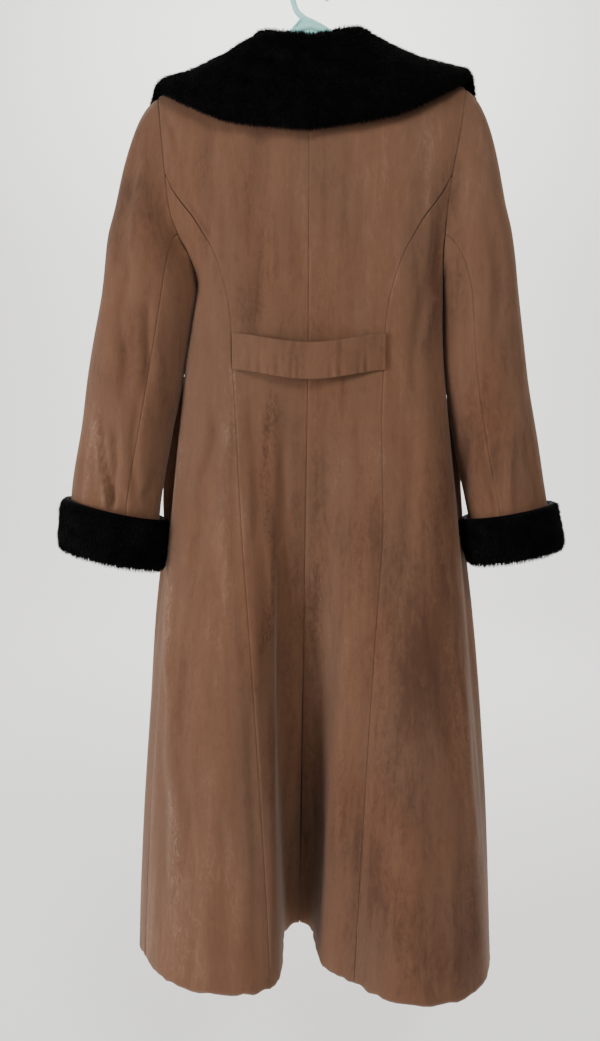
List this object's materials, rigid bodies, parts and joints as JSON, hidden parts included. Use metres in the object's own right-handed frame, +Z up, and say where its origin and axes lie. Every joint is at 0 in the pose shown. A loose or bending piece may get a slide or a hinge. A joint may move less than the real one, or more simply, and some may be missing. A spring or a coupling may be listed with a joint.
{
  "type": "coat with faux fur collar and cuffs on a hanger",
  "caption": "Long fitted woven coat with a deep faux fur collar, turned-up fur cuffs and a half belt, hanging on a plastic hanger.",
  "frame": {"origin": "inner crown of the hanger's hook, where the rod or peg that holds it bears", "axes": "+Z up, the coat's back faces -Y and its buttoned fronts face +Y, +X is towards the wearer's right sleeve"},
  "size_m": [0.702, 0.1951, 1.3621],
  "materials": {
    "shell_cloth": "brown peached microfibre with a soft uneven nap",
    "faux_fur": "short dense black faux fur",
    "button": "dark brown horn-look plastic",
    "hanger_plastic": "light aqua moulded plastic"
  },
  "bodies": {
    "root": {"back_left": "shell_cloth", "back_right": "shell_cloth", "side_back_left": "shell_cloth", "side_back_right": "shell_cloth", "front_left": "shell_cloth", "front_right": "shell_cloth", "side_front_left": "shell_cloth", "side_front_right": "shell_cloth", "sleeve_top_left": "shell_cloth", "sleeve_top_right": "shell_cloth", "sleeve_under_left": "shell_cloth", "sleeve_under_right": "shell_cloth", "half_belt": "shell_cloth", "collar": "faux_fur", "cuff_left": "faux_fur", "cuff_right": "faux_fur", "button_1": "button", "button_2": "button", "button_3": "button", "button_4": "button", "hanger": "hanger_plastic"}
  },
  "joints": []
}
